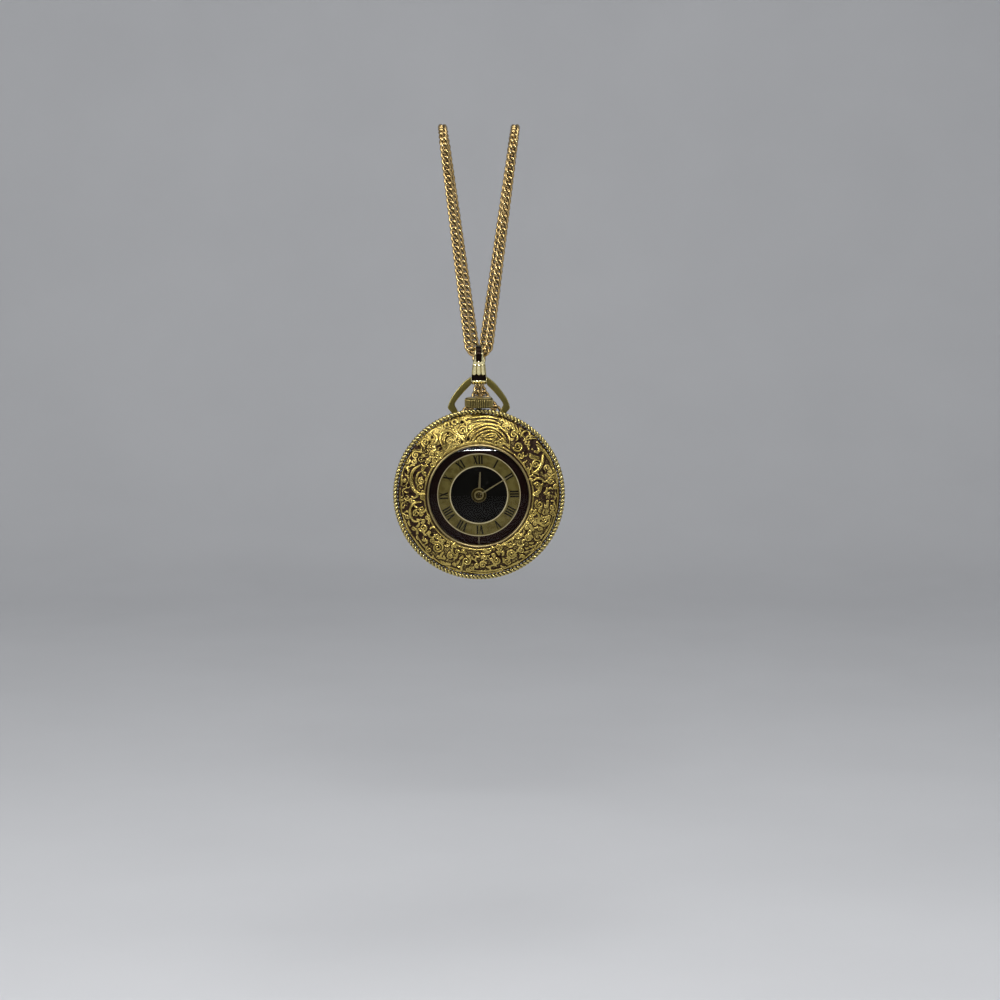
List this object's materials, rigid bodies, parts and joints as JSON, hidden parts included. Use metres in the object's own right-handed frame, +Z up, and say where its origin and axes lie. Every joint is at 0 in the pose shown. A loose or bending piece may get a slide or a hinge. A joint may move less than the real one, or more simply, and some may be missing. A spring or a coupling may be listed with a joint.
{
  "type": "pendant watch",
  "caption": "Round gold-coloured pendant watch with a scrollwork bezel, rope edge, black and champagne dial, crown, bow and bail on a fine chain.",
  "frame": {"origin": "front top edge of what the chain hangs over, halfway between its two strands", "axes": "+Z up along the hanging chain towards twelve o'clock, -Y the way the dial faces, +X to the right of somebody looking at the dial"},
  "size_m": [0.038, 0.026, 0.1004],
  "materials": {
    "case_gold": "antiqued gold plate",
    "chain_gold": "polished gold plate",
    "pale_gold": "polished gold plate",
    "movement_brass": "satin",
    "steel": "satin",
    "dial": "printed lacquer",
    "crystal": "clear",
    "jewel": "clear red",
    "gasket": "matt",
    "movement_plastic": "matt"
  },
  "bodies": {
    "chain": {"chain": "chain_gold", "chain_coil": "chain_gold", "clasp": "chain_gold", "end_ring": "chain_gold", "coil_tie": "gasket"},
    "bail": {"bail": "pale_gold"},
    "bow": {"bow": "case_gold"},
    "case": {"bezel": "case_gold", "crystal_ring": "case_gold", "crystal": "crystal", "case_band": "case_gold", "back_cover": "case_gold", "back_gasket": "gasket", "main_plate": "movement_brass", "movement_ring": "movement_plastic", "case_screws": "steel", "barrel_bridge": "movement_brass", "train_bridge": "movement_brass", "pallet_bridge": "movement_brass", "balance_cock": "movement_brass", "bridge_screws": "steel", "jewels": "jewel", "click": "steel", "hairspring": "steel", "dial": "dial"},
    "stem_slide": {"setting_lever": "steel"},
    "crown": {"crown": "case_gold", "stem": "steel"},
    "winding": {"winding_pinion": "steel", "clutch": "steel"},
    "crown_wheel": {"crown_wheel": "steel"},
    "ratchet": {"ratchet_wheel": "steel", "barrel_arbor": "steel"},
    "barrel": {"barrel": "movement_brass", "barrel_lid": "movement_brass", "mainspring": "steel"},
    "centre": {"centre_wheel": "movement_brass"},
    "third": {"third_wheel": "movement_brass"},
    "fourth": {"fourth_wheel": "movement_brass"},
    "escape": {"escape_wheel": "steel"},
    "fork": {"pallet_fork": "steel"},
    "balance": {"balance_wheel": "movement_brass"},
    "minute_hand": {"cannon_pinion": "steel", "minute_hand": "pale_gold"},
    "hour_hand": {"hour_wheel": "movement_brass", "hour_hand": "pale_gold"},
    "minute_work": {"minute_wheel": "movement_brass"}
  },
  "joints": [
    {"name": "bail_swing", "type": "hinge", "parent": "chain", "child": "bail", "pos_m": [0, 0, -0.0496], "axis": [-1, 0, 0], "range_deg": [-3, 45]},
    {"name": "bow_swing", "type": "hinge", "parent": "bail", "child": "bow", "pos_m": [0, 0, -0.0552], "axis": [-1, 0, 0], "range_deg": [-3, 60]},
    {"name": "case_swing", "type": "hinge", "parent": "bow", "child": "case", "pos_m": [0, 0, -0.0633], "axis": [-1, 0, 0], "range_deg": [-2, 18]},
    {"name": "crown_pull", "type": "slide", "parent": "case", "child": "stem_slide", "axis": [0, 0, 1], "range_m": [0, 0.0007]},
    {"name": "crown_turn", "type": "hinge", "parent": "stem_slide", "child": "crown", "pos_m": [0, 0, -0.0604], "axis": [0, 0, 1], "continuous": true},
    {"name": "winding_turn", "type": "hinge", "parent": "case", "child": "winding", "pos_m": [0, 0, -0.072], "axis": [0, 0, 1], "continuous": true},
    {"name": "crown_wheel_turn", "type": "hinge", "parent": "case", "child": "crown_wheel", "pos_m": [0, 0.002, -0.0738], "axis": [0, -1, 0], "continuous": true},
    {"name": "ratchet_turn", "type": "hinge", "parent": "case", "child": "ratchet", "pos_m": [0.00519, 0, -0.07851], "axis": [0, -1, 0], "continuous": true},
    {"name": "fourth_wheel_turn", "type": "hinge", "parent": "case", "child": "fourth", "pos_m": [-0.0039, 0, -0.08555], "axis": [0, -1, 0], "continuous": true},
    {"name": "escape_turn", "type": "hinge", "parent": "case", "child": "escape", "pos_m": [-0.00609, 0, -0.08371], "axis": [0, -1, 0], "continuous": true},
    {"name": "third_wheel_turn", "type": "hinge", "parent": "case", "child": "third", "pos_m": [-0.0007, 0, -0.08439], "axis": [0, -1, 0], "continuous": true},
    {"name": "centre_wheel_turn", "type": "hinge", "parent": "case", "child": "centre", "pos_m": [0, 0, -0.0804], "axis": [0, -1, 0], "continuous": true},
    {"name": "barrel_turn", "type": "hinge", "parent": "case", "child": "barrel", "pos_m": [0.00519, 0, -0.07851], "axis": [0, -1, 0], "continuous": true},
    {"name": "pallet_rock", "type": "hinge", "parent": "case", "child": "fork", "pos_m": [-0.00665, 0, -0.08159], "axis": [0, -1, 0], "range_deg": [-5, 5]},
    {"name": "balance_swing", "type": "hinge", "parent": "case", "child": "balance", "pos_m": [-0.00741, 0, -0.07868], "axis": [0, -1, 0], "range_deg": [-135, 135]},
    {"name": "minute_hand_turn", "type": "hinge", "parent": "case", "child": "minute_hand", "pos_m": [0, 0, -0.0804], "axis": [0, -1, 0], "continuous": true},
    {"name": "hour_hand_turn", "type": "hinge", "parent": "case", "child": "hour_hand", "pos_m": [0, 0, -0.0804], "axis": [0, -1, 0], "continuous": true},
    {"name": "minute_wheel_turn", "type": "hinge", "parent": "case", "child": "minute_work", "pos_m": [-0.00235, 0, -0.08125], "axis": [0, -1, 0], "continuous": true}
  ],
  "couplings": [
    {"joint": "winding_turn", "follows": "crown_turn", "ratio": 1},
    {"joint": "crown_wheel_turn", "follows": "crown_turn", "ratio": 0.77778},
    {"joint": "ratchet_turn", "follows": "crown_turn", "ratio": -0.4023},
    {"joint": "escape_turn", "follows": "fourth_wheel_turn", "ratio": -10},
    {"joint": "third_wheel_turn", "follows": "fourth_wheel_turn", "ratio": -0.13333},
    {"joint": "centre_wheel_turn", "follows": "fourth_wheel_turn", "ratio": 0.016667},
    {"joint": "barrel_turn", "follows": "fourth_wheel_turn", "ratio": -0.0025},
    {"joint": "hour_hand_turn", "follows": "minute_hand_turn", "ratio": 0.083333},
    {"joint": "minute_wheel_turn", "follows": "minute_hand_turn", "ratio": -0.33333}
  ]
}
